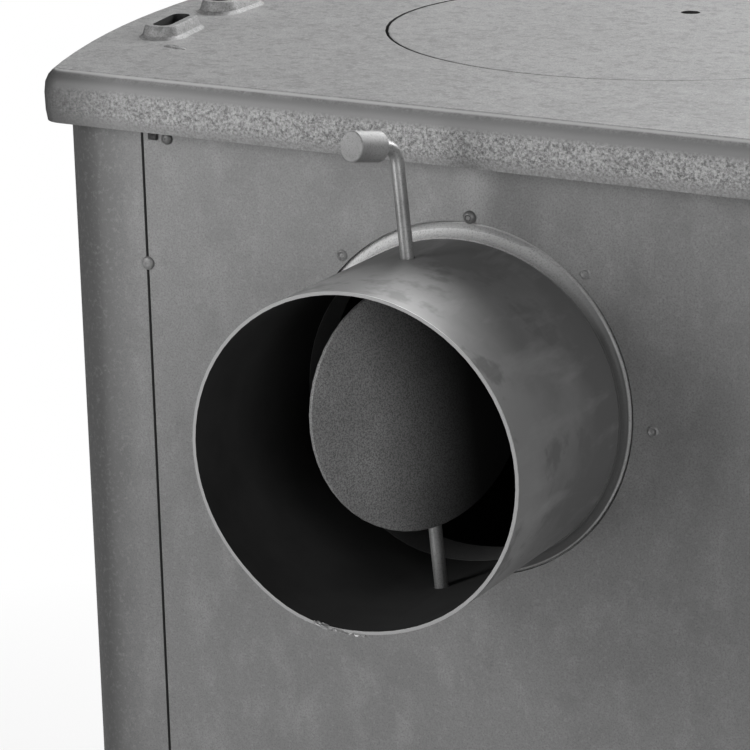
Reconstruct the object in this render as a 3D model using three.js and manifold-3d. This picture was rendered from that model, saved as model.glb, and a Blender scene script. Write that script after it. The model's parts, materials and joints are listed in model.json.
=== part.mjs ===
// A wood-burning potbelly stove with a cast-iron cooking top, a tapered sheet casing round a welded
// firebox, a rear flue outlet with a butterfly damper, a glazed fire door and an ash drawer.
// Millimetres, +Z up. The front faces -Y and the flue leaves towards +Y.

import * as THREE from "three";
import { mergeVertices } from "three/addons/utils/BufferGeometryUtils.js";
import Module from "manifold-3d";

const wasm = await Module();
wasm.setup();

// ---------------------------------------------------------------- driving dimensions

const gap = 0.3; // between pieces that touch
const sheet = 1.5; // casing sheet
const hobHeight = 780; // top of the cooking plate above the floor
const bodyFloor = 130; // underside of the base plate

const hob = {
  halfWidth: 245,
  halfDepth: 216,
  sideRadius: 608, // the plate's sides swell outwards on this radius
  corner: 12,
  height: 24.4,
  thickness: 9,
  skirt: 5.5,
  chamferIn: 6,
};
const lid = { radius: 124.2, seatRadius: 125.2, holeRadius: 110, ledgeRadius: 136, ledge: 8 };
const vent = {
  count: 4, // raised, slotted outlets along each side
  pitch: 72,
  inset: 35.2, // of their centre line from the plate's edge
  length: 41,
  width: 16,
  slotLength: 34,
  slotWidth: 9,
  rise: 6,
  flare: 3.6,
};
const casing = {
  halfWidth: 238, // at the height of the plate's lip
  halfDepth: 198,
  sideRadius: 608,
  corner: 25,
  taper: 0.03, // each side draws in by this much of the drop below the lip
  seamX: 163.5,
  seamGap: 1.2,
  flange: 14,
  top: 765,
};
const firebox = { halfWidth: 160, front: -184, rear: 187, wall: 4, top: 770.7 };
const flue = {
  drop: 133, // of its axis below the hob
  mouthY: 305,
  jointY: 203, // where the pipe meets the collar's neck, just outside the rear panel
  neckY: 181, // the neck's inner end, inside the firebox
  outerRadius: 75,
  wall: 1.5,
  outOfRound: 1.3, // the rolled pipe is this much wider across and lower in height
  seamBulge: 1.8, // where its rolled ends meet, underneath
  panelHole: 80.7,
  collarRadius: 79.9, // of the part that fills the panel's hole
  flangeRadius: 97,
  flangeDepth: 2.6, // of its face behind the rear panel's
};
const damper = {
  y: flue.mouthY - 63.7,
  x: -2.1,
  tilt: THREE.MathUtils.degToRad(6.7), // of the shaft in its hole-to-hole line
  open: THREE.MathUtils.degToRad(61.5), // of the plate from closed, as it stands
  rod: 3, // radius
  plateRadius: 55,
  plateRise: 11.3,
  plateShift: 5, // of the plate's middle to one side of the shaft
  plateThickness: 2,
  bendHeight: 121.2,
  arm: new THREE.Vector3(0.306, 0.931, 0.15).normalize(),
  knobStart: 10,
  knobLength: 16.6,
  knobRadius: 6.7,
  bend: 7, // from the corner to where the shaft runs straight
};
const door = {
  z: 455, // middle of the door
  throat: [105, 120], // half sizes, x and z
  sealLine: [115, 130],
  leaf: [126, 143],
  flange: [148, 155],
  window: [78, 80],
  glass: [88, 88],
  frameFace: -204.3,
  back: -206,
  front: -217,
  hingeX: -136,
  hingeY: -211.5,
  knuckle: 7,
  pin: 3.5,
  latchX: 112,
  latchTurn: THREE.MathUtils.degToRad(60), // of the latch, from released to fastened
};
const drawer = { halfWidth: 104, rear: 150, height: 86, leaf: [140, 57], z: 194, front: -206.6 };
const hearthZ = 300; // top of the ash space
const brickTop = 540;
const leg = { x: 158, y: 140, foot: 8, splay: 10 };

const lipZ = hobHeight - hob.height;
const flueZ = hobHeight - flue.drop;
const plateUnder = hobHeight - hob.thickness;
const floorZ = bodyFloor + 4.6; // top of the base plate, with the gap under the firebox
// the bounding box's middle: the door grip in front, the flue's mouth behind
const frontMost = -257;
const depthMiddle = (flue.mouthY + frontMost) / 2;

// ---------------------------------------------------------------- finishes

const finish = (color, roughness, metalness, extra = {}) => ({ color, roughness, metalness, ...extra });
const castIron = finish(0x6e6e6e, 0.72, 0.35);
const paintedSheet = finish(0x666666, 0.55, 0.25);
const smokedSteel = finish(0x4c4c4c, 0.5, 0.55);
const bareSteel = finish(0x8c8c8c, 0.4, 0.85);
const zincSteel = finish(0xa0a0a0, 0.42, 0.8);
const blackSteel = finish(0x3a3a3a, 0.6, 0.5);
const fireclay = finish(0xb7a184, 0.95, 0);
const ropeSeal = finish(0x5b5b58, 1, 0);
const ceramicGlass = finish(0x2a2320, 0.08, 0, { transparent: true, opacity: 0.45 });
const beech = finish(0x9a6b40, 0.55, 0);

// ---------------------------------------------------------------- solids

// A closed three.js geometry as a solid that can be cut and joined.
function solid(geometry) {
  const bare = geometry.index ? geometry.toNonIndexed() : geometry.clone();
  for (const name of Object.keys(bare.attributes)) {
    if (name !== "position") bare.deleteAttribute(name);
  }
  const merged = mergeVertices(bare, 1e-4);
  const mesh = new wasm.Mesh({
    numProp: 3,
    vertProperties: merged.attributes.position.array,
    triVerts: new Uint32Array(merged.index.array),
  });
  return new wasm.Manifold(mesh);
}

const asSolid = (thing) => (thing.isBufferGeometry ? solid(thing) : thing);
const join = (...things) => things.map(asSolid).reduce((a, b) => a.add(b));
const cut = (body, ...tools) => tools.map(asSolid).reduce((a, b) => a.subtract(b), asSolid(body));

function geometryOf(body) {
  const mesh = body.getMesh();
  const position = new Float32Array(mesh.numVert * 3);
  for (let i = 0; i < mesh.numVert; i++) {
    position.set(mesh.vertProperties.subarray(i * mesh.numProp, i * mesh.numProp + 3), i * 3);
  }
  const indexed = new THREE.BufferGeometry();
  indexed.setAttribute("position", new THREE.BufferAttribute(position, 3));
  indexed.setIndex(new THREE.BufferAttribute(mesh.triVerts, 1));
  const flat = indexed.toNonIndexed();
  flat.computeVertexNormals();
  return flat;
}

const stove = new THREE.Group();

function addPiece(name, body, look) {
  const geometry = body.isBufferGeometry ? body : geometryOf(body);
  const mesh = new THREE.Mesh(geometry, new THREE.MeshStandardMaterial(look));
  mesh.name = name;
  stove.add(mesh);
  return mesh;
}

// ---------------------------------------------------------------- shape helpers

function block(x0, x1, y0, y1, z0, z1) {
  const box = new THREE.BoxGeometry(x1 - x0, y1 - y0, z1 - z0);
  return box.translate((x0 + x1) / 2, (y0 + y1) / 2, (z0 + z1) / 2);
}

function roundedRect(halfX, halfY, radius, x = 0, y = 0) {
  const shape = new THREE.Shape();
  const r = radius;
  shape.moveTo(x - halfX + r, y - halfY);
  shape.lineTo(x + halfX - r, y - halfY);
  shape.absarc(x + halfX - r, y - halfY + r, r, -Math.PI / 2, 0, false);
  shape.lineTo(x + halfX, y + halfY - r);
  shape.absarc(x + halfX - r, y + halfY - r, r, 0, Math.PI / 2, false);
  shape.lineTo(x - halfX + r, y + halfY);
  shape.absarc(x - halfX + r, y + halfY - r, r, Math.PI / 2, Math.PI, false);
  shape.lineTo(x - halfX, y - halfY + r);
  shape.absarc(x - halfX + r, y - halfY + r, r, Math.PI, 1.5 * Math.PI, false);
  return shape;
}

// A shape drawn in X and Y, raised from z0 to z1.
function raised(shape, z0, z1, bevel = 0, curveSegments = 2) {
  const options = {
    depth: z1 - z0 - 2 * bevel,
    curveSegments,
    bevelEnabled: bevel > 0,
    bevelSize: bevel,
    bevelThickness: bevel,
    bevelOffset: -bevel,
    bevelSegments: 1,
  };
  return new THREE.ExtrudeGeometry(shape, options).translate(0, 0, z0 + bevel);
}

// A shape drawn in X and Z, standing upright between the planes y0 and y1.
function upright(shape, y0, y1, bevel = 0, curveSegments = 2) {
  return raised(shape, -y1, -y0, bevel, curveSegments).rotateX(Math.PI / 2);
}

// A profile of [radius, height] pairs turned about +Z.
function turned(profile, segments = 32) {
  const points = profile.map(([r, z]) => new THREE.Vector2(r, z));
  return new THREE.LatheGeometry(points, segments).rotateX(Math.PI / 2);
}

const rod = (radius, z0, z1, segments = 20) =>
  turned([[0, z0], [radius, z0], [radius, z1], [0, z1]], segments);

// Rings of equal point counts, listed from the lowest up, joined into one closed solid.
function loft(rings) {
  const count = rings[0].length;
  const position = rings.flat().flatMap((p) => [p.x, p.y, p.z]);
  const index = [];
  for (let level = 0; level + 1 < rings.length; level++) {
    for (let i = 0; i < count; i++) {
      const a = level * count + i;
      const b = level * count + ((i + 1) % count);
      index.push(a, b, b + count, a, b + count, a + count);
    }
  }
  const flatRing = (ring) => ring.map((p) => new THREE.Vector2(p.x, p.y));
  for (const [a, b, c] of THREE.ShapeUtils.triangulateShape(flatRing(rings[0]), [])) {
    index.push(a, c, b);
  }
  const top = (rings.length - 1) * count;
  for (const [a, b, c] of THREE.ShapeUtils.triangulateShape(flatRing(rings.at(-1)), [])) {
    index.push(top + a, top + b, top + c);
  }
  const geometry = new THREE.BufferGeometry();
  geometry.setAttribute("position", new THREE.Float32BufferAttribute(position, 3));
  geometry.setIndex(index);
  return geometry.toNonIndexed();
}

// A round bar along points that lie in one plane, which `normal` stands square to.
function bar(points, radius, normal, around = 12) {
  const rings = points.map((point, i) => {
    const ahead = points[Math.min(i + 1, points.length - 1)];
    const tangent = ahead.clone().sub(points[Math.max(i - 1, 0)]).normalize();
    const across = normal.clone().cross(tangent);
    const ring = [];
    for (let k = 0; k < around; k++) {
      const angle = (2 * Math.PI * k) / around;
      const out = normal.clone().multiplyScalar(radius * Math.cos(angle));
      ring.push(out.addScaledVector(across, radius * Math.sin(angle)).add(point));
    }
    return ring;
  });
  const position = rings.flat().flatMap((p) => [p.x, p.y, p.z]);
  const index = [];
  for (let level = 0; level + 1 < rings.length; level++) {
    for (let k = 0; k < around; k++) {
      const a = level * around + k;
      const b = level * around + ((k + 1) % around);
      index.push(a, b + around, b, a, a + around, b + around);
    }
  }
  const last = (rings.length - 1) * around;
  for (let k = 1; k + 1 < around; k++) index.push(0, k, k + 1, last, last + k + 1, last + k);
  const geometry = new THREE.BufferGeometry();
  geometry.setAttribute("position", new THREE.Float32BufferAttribute(position, 3));
  geometry.setIndex(index);
  return geometry.toNonIndexed();
}

// A quarter of a plan with a swelling side, from the side's middle to the middle of the back.
function quarterPlan({ halfWidth, halfDepth, sideRadius, corner }, inset = 0, sideSteps = 10, cornerSteps = 5) {
  const arcX = halfWidth - sideRadius;
  const side = sideRadius - inset;
  const r = corner - inset;
  const cornerY = halfDepth - inset - r;
  const cornerX = arcX + Math.sqrt((side - r) ** 2 - cornerY ** 2);
  const meet = Math.atan2(cornerY, cornerX - arcX);
  const points = [];
  for (let i = 0; i <= sideSteps; i++) {
    const angle = (meet * i) / sideSteps;
    points.push([arcX + side * Math.cos(angle), side * Math.sin(angle)]);
  }
  for (let i = 1; i <= cornerSteps; i++) {
    const angle = meet + ((Math.PI / 2 - meet) * i) / cornerSteps;
    points.push([cornerX + r * Math.cos(angle), cornerY + r * Math.sin(angle)]);
  }
  return points;
}

// The whole plan as one ring at height z.
function planRing(plan, inset, z) {
  const quarter = quarterPlan(plan, inset);
  const back = [...quarter].reverse().map(([x, y]) => [-x, y]);
  const front = quarter.slice(1).map(([x, y]) => [-x, -y]);
  const last = [...quarter].reverse().slice(0, -1).map(([x, y]) => [x, -y]);
  return [...quarter, ...back, ...front, ...last].map(([x, y]) => new THREE.Vector3(x, y, z));
}

const casingPlan = (z) => ({ ...casing, halfWidth: casing.halfWidth - casing.taper * (lipZ - z) });
const seamAt = (z) => casing.seamX - casing.taper * (lipZ - z);

// A bar with round ends, its length along Y, as a ring grown by `grow` at height z.
function obroundRing(length, width, grow, z, steps = 7) {
  const r = width / 2 + grow;
  const reach = (length - width) / 2;
  const ring = [];
  for (let i = 0; i < 2 * steps + 2; i++) {
    const upper = i <= steps;
    const angle = upper ? (Math.PI * i) / steps : Math.PI + (Math.PI * (i - steps - 1)) / steps;
    ring.push(new THREE.Vector3(r * Math.cos(angle), (upper ? reach : -reach) + r * Math.sin(angle), z));
  }
  return ring;
}

// ---------------------------------------------------------------- cooking top

// Places a thing made about the origin where vent number `row` stands on one side.
function atVent(geometry, side, row) {
  const y = (row - (vent.count - 1) / 2) * vent.pitch;
  const edge = hob.halfWidth - hob.sideRadius + Math.sqrt(hob.sideRadius ** 2 - y ** 2);
  const turn = Math.asin(y / hob.sideRadius);
  return geometry.rotateZ(side * turn).translate(side * (edge - vent.inset), y, 0);
}

function makeHobPlate() {
  const top = hobHeight;
  const outside = loft([
    planRing(hob, 1.3, lipZ),
    planRing(hob, 0.4, lipZ + 5),
    planRing(hob, 0, lipZ + 13),
    planRing(hob, 0.5, top - 6.5),
    planRing(hob, hob.chamferIn * 0.3, top - 3.6),
    planRing(hob, hob.chamferIn * 0.6, top - 1.6),
    planRing(hob, hob.chamferIn, top),
  ]);
  const hollow = loft([planRing(hob, hob.skirt, lipZ - 5), planRing(hob, hob.skirt + 0.4, plateUnder)]);
  let plate = cut(outside, hollow);
  plate = join(plate, rod(lid.ledgeRadius, plateUnder - lid.ledge, plateUnder + 1, 64));
  plate = cut(
    plate,
    rod(lid.seatRadius, plateUnder, top + 5, 64),
    rod(lid.holeRadius, plateUnder - 30, top, 64),
  );
  for (const side of [-1, 1]) {
    for (let row = 0; row < vent.count; row++) {
      const rings = [
        obroundRing(vent.length, vent.width, vent.flare, top - 1),
        obroundRing(vent.length, vent.width, vent.flare, top),
        obroundRing(vent.length, vent.width, 1.5, top + 1.4),
        obroundRing(vent.length, vent.width, 0.4, top + vent.rise - 0.8),
        obroundRing(vent.length, vent.width, -0.4, top + vent.rise),
      ];
      const slot = [top - 30, top + 20].map((z) => obroundRing(vent.slotLength, vent.slotWidth, 0, z));
      plate = join(plate, atVent(loft(rings), side, row));
      plate = cut(plate, atVent(loft(slot), side, row));
    }
  }
  addPiece("hob_plate", plate, castIron);
}

function makeHobLid() {
  const under = plateUnder + gap;
  const profile = [
    [0, under], [99, under], [100.5, under - 6], [106, under - 6], [107.5, under],
    [lid.radius, under], [lid.radius, hobHeight - 0.6], [lid.radius - 0.6, hobHeight], [0, hobHeight],
  ];
  const lifterHole = rod(4.75, hobHeight - 6, hobHeight + 5, 14).translate(0, -56, 0);
  addPiece("hob_lid", cut(turned(profile, 64), lifterHole), castIron);
}

// ---------------------------------------------------------------- casing

// One side of the casing as a ring: a sheet that wraps both corners and ends in stepped flanges at the seams.
function sidePanelRing(z, side) {
  const plan = casingPlan(z);
  const seam = seamAt(z) + casing.seamGap / 2;
  const face = casing.halfDepth;
  const step = face - sheet - gap;
  const outside = quarterPlan(plan, 0, 8, 6);
  const inside = quarterPlan(plan, sheet, 8, 6);
  const flange = [
    [seam, face], [seam, step], [seam - casing.flange, step],
    [seam - casing.flange, step - sheet], [seam + sheet, step - sheet], [seam + sheet, face - sheet],
  ];
  const rearHalf = [...outside, ...flange, ...[...inside].reverse()];
  const frontHalf = [...rearHalf].reverse().map(([x, y]) => [x, -y]);
  // the rear half runs outside to inside, the front half back again, so the sheet closes on itself
  const ring = [...rearHalf, ...frontHalf.slice(1, -1)];
  const placed = ring.map(([x, y]) => new THREE.Vector3(side * x, y, z));
  return side > 0 ? placed : placed.reverse();
}

function makeSidePanels() {
  for (const [name, side] of [["side_panel_left", -1], ["side_panel_right", 1]]) {
    const panel = loft([sidePanelRing(floorZ + gap, side), sidePanelRing(casing.top, side)]);
    addPiece(name, panel, paintedSheet);
  }
}

// The flat panel between two seams, narrowing downwards with the casing.
function flatPanel(y0, y1) {
  const edge = (z) => seamAt(z) - casing.seamGap / 2;
  const [low, high] = [floorZ + gap, casing.top];
  const shape = new THREE.Shape();
  shape.moveTo(-edge(low), low);
  shape.lineTo(edge(low), low);
  shape.lineTo(edge(high), high);
  shape.lineTo(-edge(high), high);
  return upright(shape, y0, y1);
}

function makeRearPanel() {
  const face = casing.halfDepth;
  const hole = rod(flue.panelHole, 0, 60, 72).rotateX(Math.PI / 2).translate(0, face + 30, flueZ);
  addPiece("rear_panel", cut(flatPanel(face - sheet, face), hole), paintedSheet);
}

function makeFrontPanel() {
  const face = -casing.halfDepth;
  const doorHole = upright(roundedRect(door.throat[0] + 8, door.throat[1] + 8, 6, 0, door.z), face - 20, face + 20);
  const drawerHole = block(-108, 108, face - 20, face + 20, floorZ - 10, 240);
  addPiece("front_panel", cut(flatPanel(face, face + sheet), doorHole, drawerHole), paintedSheet);
}

function makeBasePlate() {
  const plan = casingPlan(bodyFloor);
  let plate = solid(loft([planRing(plan, 0, bodyFloor), planRing(plan, 0, floorZ - gap)]));
  // air for the space between firebox and casing comes in through these slots
  for (const side of [-1, 1]) {
    for (const y of [-62, 62]) {
      const slot = [bodyFloor - 5, floorZ + 5].map((z) => obroundRing(96, 14, 0, z, 4));
      plate = cut(plate, loft(slot).translate(side * 182, y, 0));
    }
  }
  addPiece("base_plate", plate, blackSteel);
}

function makeLegs() {
  const square = (half, x, y, z) =>
    [[1, 1], [-1, 1], [-1, -1], [1, -1]].flatMap(([sx, sy]) => {
      const bevel = half * 0.35;
      const corner = [[sx * half, sy * (half - bevel)], [sx * (half - bevel), sy * half]];
      if (sx * sy < 0) corner.reverse();
      return corner.map(([px, py]) => new THREE.Vector3(x + px, y + py, z));
    });
  const stations = [
    [leg.foot + gap, 15, 1], [22, 16, 0.95], [60, 18, 0.7], [95, 24, 0.3], [bodyFloor - gap, 33, 0],
  ];
  for (const [sx, across] of [[-1, "left"], [1, "right"]]) {
    for (const [sy, along] of [[-1, "front"], [1, "rear"]]) {
      const rings = stations.map(([z, half, out]) =>
        square(half, sx * (leg.x + leg.splay * out), sy * (leg.y + leg.splay * out), z),
      );
      const [x, y] = [sx * (leg.x + leg.splay), sy * (leg.y + leg.splay)];
      const socket = rod(5.5, 0, 30, 16).translate(x, y, 0);
      addPiece(`leg_${along}_${across}`, cut(loft(rings), socket), castIron);
      const foot = [[0, 0], [15, 0], [17, 1.5], [17, 5], [14, 6.5], [5, leg.foot], [5, 28], [0, 28]];
      addPiece(`levelling_foot_${along}_${across}`, turned(foot, 16).translate(x, y, 0), zincSteel);
    }
  }
}

// ---------------------------------------------------------------- firebox and what stands in it

const flueHole = (grow) => fluePrism(grow, firebox.rear - 30, firebox.rear + 30);

function makeFirebox() {
  const { halfWidth: w, front, rear, wall, top } = firebox;
  const low = floorZ + wall + gap;
  const high = top - wall - gap;
  const [throatX, throatZ] = door.throat;
  const throat = block(-throatX, throatX, front - 10, front + 20, door.z - throatZ, door.z + throatZ);
  const drawerMouth = block(-108, 108, front - 10, front + 20, low - 10, 236);
  const rim = block(-w - 14, w + 14, front - 6, rear + 8, top - wall, top);

  addPiece("firebox_floor", block(-w, w, front, rear, floorZ, floorZ + wall), smokedSteel);
  addPiece("firebox_rim", cut(rim, block(-w + 1, w - 1, front + 1, rear - 1, 0, 900)), smokedSteel);
  addPiece("firebox_front", cut(block(-w, w, front, front + wall, low, high), throat, drawerMouth), smokedSteel);
  addPiece("firebox_rear", cut(block(-w, w, rear - wall, rear, low, high), flueHole(gap)), smokedSteel);
  const [sideFront, sideRear] = [front + wall + gap, rear - wall - gap];
  addPiece("firebox_side_left", block(-w, -w + wall, sideFront, sideRear, low, high), smokedSteel);
  addPiece("firebox_side_right", block(w - wall, w, sideFront, sideRear, low, high), smokedSteel);
}

function makeHearth() {
  const { halfWidth: w, front, rear, wall } = firebox;
  const inset = wall + 0.5;
  const plate = block(-w + inset, w - inset, front + inset, rear - inset, hearthZ - 8, hearthZ);
  const seat = block(-92, 92, -112, 112, hearthZ - 5, hearthZ + 5);
  const opening = block(-84, 84, -104, 104, hearthZ - 20, hearthZ + 5);
  addPiece("hearth_plate", cut(plate, seat, opening), castIron);

  let grate = solid(raised(roundedRect(91, 111, 4), hearthZ - 4.7, hearthZ + 5, 1.2, 3));
  for (let i = -4; i <= 4; i++) {
    for (const half of [-1, 1]) {
      const slot = [hearthZ - 20, hearthZ + 20].map((z) => obroundRing(88, 9, 0, z, 4));
      grate = cut(grate, loft(slot).translate(i * 18, half * 50, 0));
    }
  }
  addPiece("grate", grate, castIron);
}

function makeBricks() {
  const { halfWidth: w, rear, wall } = firebox;
  const thick = 25;
  const face = w - wall - 0.5;
  const [low, high] = [hearthZ + gap, brickTop];
  const brick = (x0, x1, y0, y1) => {
    const shape = roundedRect((x1 - x0) / 2, (y1 - y0) / 2, 3, (x0 + x1) / 2, (y0 + y1) / 2);
    return raised(shape, low, high, 2, 2);
  };
  const back = rear - wall - 0.5;
  addPiece("brick_left", brick(-face, -face + thick, -150, back - thick - 1), fireclay);
  addPiece("brick_right", brick(face - thick, face, -150, back - thick - 1), fireclay);
  addPiece("brick_rear", brick(-face, face, back - thick, back), fireclay);

  const baffle = roundedRect(face - 1, 118, 3, 0, back - 119);
  addPiece("baffle_plate", raised(baffle, brickTop + gap, brickTop + 13, 2, 2), fireclay);
}

// ---------------------------------------------------------------- flue outlet and damper

// The pipe's section: a rolled sheet, a little out of round, with a bulge where its ends meet.
function flueSection(grow) {
  const steps = 72;
  const seamAngle = THREE.MathUtils.degToRad(-72);
  const seamSpread = THREE.MathUtils.degToRad(20);
  const ring = [];
  for (let i = 0; i < steps; i++) {
    const angle = (2 * Math.PI * i) / steps;
    const off = Math.atan2(Math.sin(angle - seamAngle), Math.cos(angle - seamAngle)) / seamSpread;
    const bulge = flue.seamBulge * Math.exp(-off * off);
    const radius = flue.outerRadius + flue.outOfRound * Math.cos(2 * angle) + bulge + grow;
    ring.push(new THREE.Vector2(radius * Math.cos(angle), radius * Math.sin(angle)));
  }
  return ring;
}

const flueRing = (grow, y, limit = 200) =>
  flueSection(grow).map((p) => new THREE.Vector3(...p.clampLength(0, limit), -y));

// Rings along the flue, listed from the mouth inwards, joined into one solid.
const alongFlue = (...rings) => loft(rings).rotateX(Math.PI / 2).translate(0, 0, flueZ);
const fluePrism = (grow, y0, y1) => alongFlue(flueRing(grow, y1), flueRing(grow, y0));

// Turns a thing made about +Z so that it stands along the damper's shaft, its middle on the flue's axis.
function onShaft(geometry, turn = 0) {
  return geometry.rotateZ(turn).rotateY(damper.tilt).translate(damper.x, damper.y, flueZ);
}

function makeFlue() {
  const pipe = cut(
    fluePrism(0, flue.jointY, flue.mouthY),
    fluePrism(-flue.wall, flue.jointY - 10, flue.mouthY + 10),
    onShaft(rod(damper.rod + 0.4, -90, 90, 20)),
  );
  addPiece("flue_pipe", pipe, smokedSteel);

  // the collar: a plate behind the rear panel, drawn out through its hole into a neck as wide as the pipe
  const face = casing.halfDepth;
  const back = face - flue.flangeDepth - sheet;
  const plate = rod(flue.flangeRadius, 0, sheet, 64).rotateX(-Math.PI / 2).translate(0, back, flueZ);
  const flare = alongFlue(
    flueRing(0.6, flue.jointY - gap),
    flueRing(1.1, face + 3.1),
    flueRing(2.2, face + 1.7, flue.collarRadius),
    flueRing(3.9, face + 0.7, flue.collarRadius),
    flueRing(20, face - 0.2, flue.collarRadius),
    flueRing(20, back + sheet / 2, flue.collarRadius),
  );
  const neck = join(plate, flare, fluePrism(0, flue.neckY, face));
  addPiece("flue_flange", cut(neck, fluePrism(-flue.wall, 100, 300)), bareSteel);
}

function makeDamper() {
  const height = damper.bendHeight / Math.cos(damper.tilt);
  const bend = new THREE.Vector3(0, 0, height).applyAxisAngle(new THREE.Vector3(0, 1, 0), damper.tilt);
  bend.add(new THREE.Vector3(damper.x, damper.y, flueZ));
  const along = new THREE.Vector3(Math.sin(damper.tilt), 0, Math.cos(damper.tilt));
  const start = bend.clone().addScaledVector(along, -height - 77);
  const armEnd = bend.clone().addScaledVector(damper.arm, damper.knobStart + 8);
  const before = bend.clone().addScaledVector(along, -damper.bend);
  const after = bend.clone().addScaledVector(damper.arm, damper.bend);
  const corner = new THREE.QuadraticBezierCurve3(before, bend, after).getPoints(6);
  const normal = along.clone().cross(damper.arm).normalize();
  addPiece("damper_shaft", bar([start, ...corner, armEnd], damper.rod, normal, 16), bareSteel);

  const disc = rod(damper.plateRadius, -damper.plateThickness / 2, damper.plateThickness / 2, 48);
  disc.rotateX(Math.PI / 2);
  disc.translate(damper.plateShift, damper.rod + damper.plateThickness / 2 + gap, damper.plateRise);
  addPiece("damper_plate", onShaft(disc, damper.open), blackSteel);

  const r = damper.knobRadius;
  const [near, far] = [damper.knobStart, damper.knobStart + damper.knobLength];
  const bore = damper.rod + gap;
  const knobProfile = [
    [bore, near], [r - 0.7, near], [r, near + 0.7], [r, far - 0.5], [r - 0.5, far], [0, far],
    [0, near + 8.5], [bore, near + 8.5], [bore, near],
  ];
  const knob = turned(knobProfile, 28);
  const aim = new THREE.Quaternion().setFromUnitVectors(new THREE.Vector3(0, 0, 1), damper.arm);
  knob.applyQuaternion(aim).translate(bend.x, bend.y, bend.z);
  addPiece("damper_knob", knob, bareSteel);
}

// ---------------------------------------------------------------- fire door

function makeDoorFrame() {
  const [fx, fz] = door.flange;
  const [tx, tz] = door.throat;
  const behind = firebox.front - gap;
  const flange = upright(roundedRect(fx, fz, 14, 0, door.z), door.frameFace, -casing.halfDepth - gap, 1.5);
  const tube = upright(roundedRect(tx + 7, tz + 7, 5, 0, door.z), door.frameFace + 1, behind);
  const throat = upright(roundedRect(tx, tz, 4, 0, door.z), -260, -150);
  let frame = cut(join(flange, tube), throat);
  for (const side of [-1, 1]) {
    const z = door.z + side * 92;
    const knuckle = rod(door.knuckle, z - 30, z - gap / 2, 20).translate(door.hingeX, door.hingeY, 0);
    const web = block(door.hingeX - 5, door.hingeX + 5, door.hingeY, door.frameFace + 1, z - 30, z - gap / 2);
    const hole = rod(door.pin + gap, z - 26, z + 5, 16).translate(door.hingeX, door.hingeY, 0);
    frame = cut(join(frame, knuckle, web), hole);
  }
  addPiece("door_frame", frame, castIron);

  for (const [name, side] of [["hinge_pin_lower", -1], ["hinge_pin_upper", 1]]) {
    const z = door.z + side * 92;
    const pin = [[0, z - 25.5], [door.pin, z - 25.5], [door.pin, z + 24], [door.pin - 1, z + 25], [0, z + 25]];
    addPiece(name, turned(pin, 16).translate(door.hingeX, door.hingeY, 0), bareSteel);
  }

  // a hook on the frame's right side, open below, that the latch's tongue turns up into
  const [x0, x1, z] = [130.5, 144, door.z];
  const face = door.frameFace - gap;
  const hook = join(
    block(x0, x1, face - 3, face, z - 10, z + 24),
    block(x0, x1, face - 28.5, face, z + 9, z + 20),
    block(x0, x1, face - 28.5, face - 23.5, z - 3, z + 20),
  );
  addPiece("latch_keeper", hook, castIron);
}

function sealLoop(width, y0, y1) {
  const [sx, sz] = door.sealLine;
  const outer = roundedRect(sx + width / 2, sz + width / 2, 10, 0, door.z);
  const inner = roundedRect(sx - width / 2, sz - width / 2, 4, 0, door.z);
  return cut(upright(outer, y0, y1), upright(inner, y0 - 5, y1 + 5));
}

function makeFireDoor() {
  const [lx, lz] = door.leaf;
  const [wx, wz] = door.window;
  const [gx, gz] = door.glass;
  let leaf = solid(upright(roundedRect(lx, lz, 12, 0, door.z), door.front, door.back, 2));
  const rim = cut(
    upright(roundedRect(wx + 12, wz + 12, 16, 0, door.z), door.front - 3.5, door.front + 2, 1.6),
    upright(roundedRect(wx, wz, 9, 0, door.z), door.front - 20, door.front + 20),
  );
  leaf = cut(
    join(leaf, rim),
    upright(roundedRect(wx, wz, 9, 0, door.z), -300, -100),
    upright(roundedRect(gx + 0.6, gz + 0.6, 3, 0, door.z), door.back - 4.6, door.back + 5),
    sealLoop(8.6, door.back - 4, door.back + 5),
  );
  for (const side of [-1, 1]) {
    const z = door.z + side * 92;
    const knuckle = rod(door.knuckle, z + gap / 2, z + 28, 20).translate(door.hingeX, door.hingeY, 0);
    const web = block(door.hingeX, -lx + 3, door.hingeY - 3, door.hingeY + 3, z + gap / 2, z + 28);
    const hole = rod(door.pin + gap, z - 5, z + 40, 16).translate(door.hingeX, door.hingeY, 0);
    leaf = cut(join(leaf, knuckle, web), hole);
  }
  const boss = rod(11, 217, 221, 24).rotateX(Math.PI / 2).translate(door.latchX, 0, door.z);
  const bossHole = rod(4.3, 213.5, 240, 20).rotateX(Math.PI / 2).translate(door.latchX, 0, door.z);
  addPiece("fire_door", cut(join(leaf, boss), bossHole), castIron);

  const pane = upright(roundedRect(gx, gz, 2.5, 0, door.z), door.back - 4.3, door.back - gap, 0.6, 2);
  addPiece("door_glass", pane, ceramicGlass);
  for (const [name, side] of [["glass_clip_left", -1], ["glass_clip_right", 1]]) {
    const strip = roundedRect(8, 70, 2, side * 87, door.z);
    addPiece(name, upright(strip, door.back + gap, door.back + 2, 0, 3), zincSteel);
  }
  addPiece("door_seal", sealLoop(7.6, door.back - 3.7, door.frameFace - gap), ropeSeal);
}

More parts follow.
